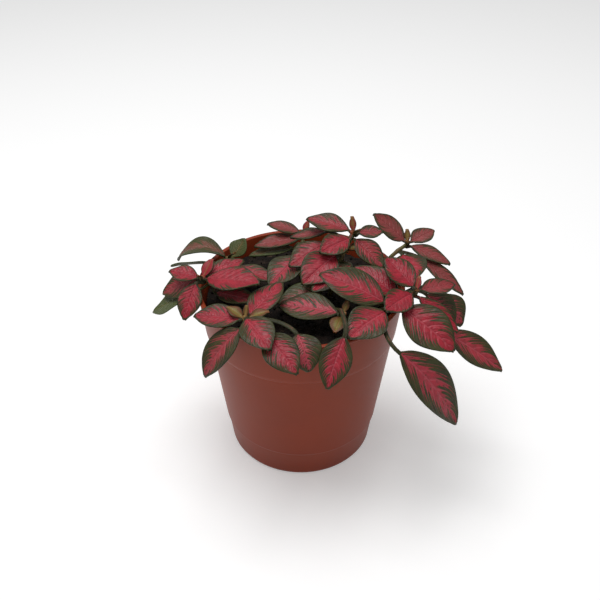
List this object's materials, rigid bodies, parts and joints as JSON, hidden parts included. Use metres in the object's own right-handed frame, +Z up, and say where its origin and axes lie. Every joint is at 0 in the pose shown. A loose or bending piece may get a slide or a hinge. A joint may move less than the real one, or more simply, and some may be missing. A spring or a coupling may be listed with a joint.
{
  "type": "potted nerve plant",
  "caption": "Small nerve plant with pink-veined oval leaves on short stems, growing over the rim of a round tapered plastic nursery pot.",
  "frame": {"origin": "centre of the pot's flat underside", "axes": "+Z up along the pot's axis, +Y towards the back of the plant, +X to its right as seen from the front"},
  "size_m": [0.1412, 0.0967, 0.1007],
  "materials": {
    "pot": "satin terracotta-coloured plastic",
    "potting_soil": null,
    "stem": null,
    "leaf": null
  },
  "bodies": {
    "root": {"pot": "pot", "potting_soil": "potting_soil", "stem_a": "stem", "stem_b": "stem", "stem_e": "stem", "stem_g": "stem", "stem_h": "stem", "stem_i": "stem", "stem_j": "stem", "stem_k": "stem", "stem_l": "stem", "leaf_a1": "leaf", "leaf_a2": "leaf", "leaf_a4": "leaf", "leaf_a5": "leaf", "leaf_a7": "leaf", "leaf_a8": "leaf", "leaf_a9": "leaf", "leaf_b1": "leaf", "leaf_b2": "leaf", "leaf_b4": "leaf", "leaf_c1": "leaf", "leaf_c2": "leaf", "leaf_c3": "leaf", "leaf_d1": "leaf", "leaf_e1": "leaf", "leaf_e2": "leaf", "leaf_f1": "leaf", "leaf_f2": "leaf", "leaf_f3": "leaf", "leaf_g1": "leaf", "leaf_g2": "leaf", "leaf_g3": "leaf", "leaf_g4": "leaf", "leaf_h1": "leaf", "leaf_h2": "leaf", "leaf_h3": "leaf", "leaf_h4": "leaf", "leaf_h5": "leaf", "leaf_i1": "leaf", "leaf_i2": "leaf", "leaf_i3": "leaf", "leaf_i4": "leaf", "leaf_i6": "leaf", "leaf_i7": "leaf", "leaf_j1": "leaf", "leaf_j2": "leaf", "leaf_j3": "leaf", "leaf_j4": "leaf", "leaf_j5": "leaf", "leaf_j6": "leaf", "leaf_k1": "leaf", "leaf_k2": "leaf", "leaf_k3": "leaf", "leaf_k6": "leaf", "leaf_l1": "leaf", "leaf_l3": "leaf", "leaf_l4": "leaf", "leaf_l5": "leaf", "leaf_l6": "leaf"}
  },
  "joints": []
}
